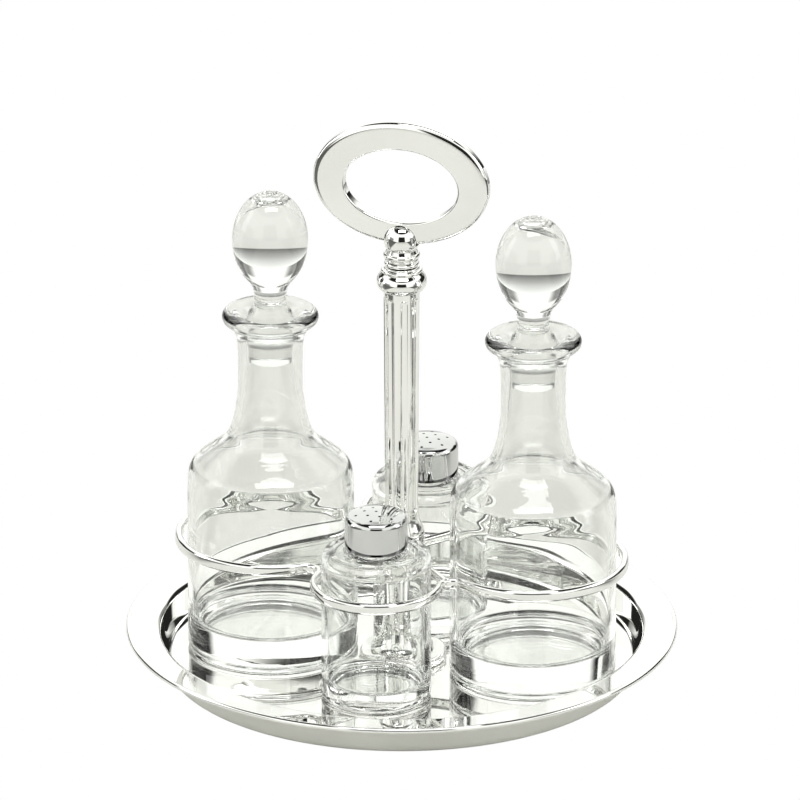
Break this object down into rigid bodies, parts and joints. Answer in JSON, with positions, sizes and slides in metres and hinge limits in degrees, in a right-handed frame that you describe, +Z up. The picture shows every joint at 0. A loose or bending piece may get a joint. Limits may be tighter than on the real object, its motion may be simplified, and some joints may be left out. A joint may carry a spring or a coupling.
{
  "type": "cruet set",
  "caption": "Round polished tray with a handled column and a wire frame that holds glass stoppered bottles and small glass shakers with perforated screw caps",
  "frame": {"origin": "the point on the table under the centre of the tray", "axes": "+Z up the column, +X from the left bottle to the right one, +Y from the front shaker to the back one"},
  "size_m": [0.2308, 0.2308, 0.243],
  "materials": {
    "silver": "silver plate, mirror polished",
    "bottle_glass": "clear, polished",
    "stopper_glass": "clear, polished, ground plug",
    "shaker_glass": "clear, polished",
    "cap_chrome": "chrome plate, mirror polished",
    "seal": "matt, translucent white"
  },
  "bodies": {
    "stand": {"tray": "silver", "column_foot": "silver", "column_stem": "silver", "column_hub": "silver", "column_shaft": "silver", "column_capital": "silver", "finial_ball": "silver", "handle_ring": "silver", "wire_frame": "silver", "arm_front_left": "silver", "arm_front_right": "silver", "arm_back_left": "silver", "arm_back_right": "silver"},
    "bottle_left": {"bottle_left": "bottle_glass"},
    "stopper_left": {"stopper_left": "stopper_glass"},
    "bottle_right": {"bottle_right": "bottle_glass"},
    "stopper_right": {"stopper_right": "stopper_glass"},
    "shaker_front": {"shaker_front": "shaker_glass"},
    "cap_seal_front": {"cap_seal_front": "seal"},
    "cap_front": {"cap_front": "cap_chrome"},
    "shaker_back": {"shaker_back": "shaker_glass"},
    "cap_seal_back": {"cap_seal_back": "seal"},
    "cap_back": {"cap_back": "cap_chrome"}
  },
  "joints": [
    {"name": "bottle_left_lift", "type": "slide", "parent": "stand", "child": "bottle_left", "axis": [0, 0, 1], "range_m": [0, 0.054]},
    {"name": "stopper_left_lift", "type": "slide", "parent": "bottle_left", "child": "stopper_left", "axis": [0, 0, 1], "range_m": [0, 0.03]},
    {"name": "bottle_right_lift", "type": "slide", "parent": "stand", "child": "bottle_right", "axis": [0, 0, 1], "range_m": [0, 0.054]},
    {"name": "stopper_right_lift", "type": "slide", "parent": "bottle_right", "child": "stopper_right", "axis": [0, 0, 1], "range_m": [0, 0.03]},
    {"name": "shaker_front_lift", "type": "slide", "parent": "stand", "child": "shaker_front", "axis": [0, 0, 1], "range_m": [0, 0.056]},
    {"name": "cap_front_lift", "type": "slide", "parent": "shaker_front", "child": "cap_seal_front", "axis": [0, 0, 1], "range_m": [0, 0.0091]},
    {"name": "cap_front_turn", "type": "hinge", "parent": "cap_seal_front", "child": "cap_front", "pos_m": [0, -0.0423, 0.0714], "axis": [0, 0, 1], "range_deg": [0, 1080]},
    {"name": "shaker_back_lift", "type": "slide", "parent": "stand", "child": "shaker_back", "axis": [0, 0, 1], "range_m": [0, 0.056]},
    {"name": "cap_back_lift", "type": "slide", "parent": "shaker_back", "child": "cap_seal_back", "axis": [0, 0, 1], "range_m": [0, 0.0091]},
    {"name": "cap_back_turn", "type": "hinge", "parent": "cap_seal_back", "child": "cap_back", "pos_m": [0, 0.0423, 0.0714], "axis": [0, 0, 1], "range_deg": [0, 1080]}
  ],
  "couplings": [
    {"joint": "cap_front_lift", "follows": "cap_front_turn", "m_per_rad": 0.00047746},
    {"joint": "cap_back_lift", "follows": "cap_back_turn", "m_per_rad": 0.00047746}
  ]
}
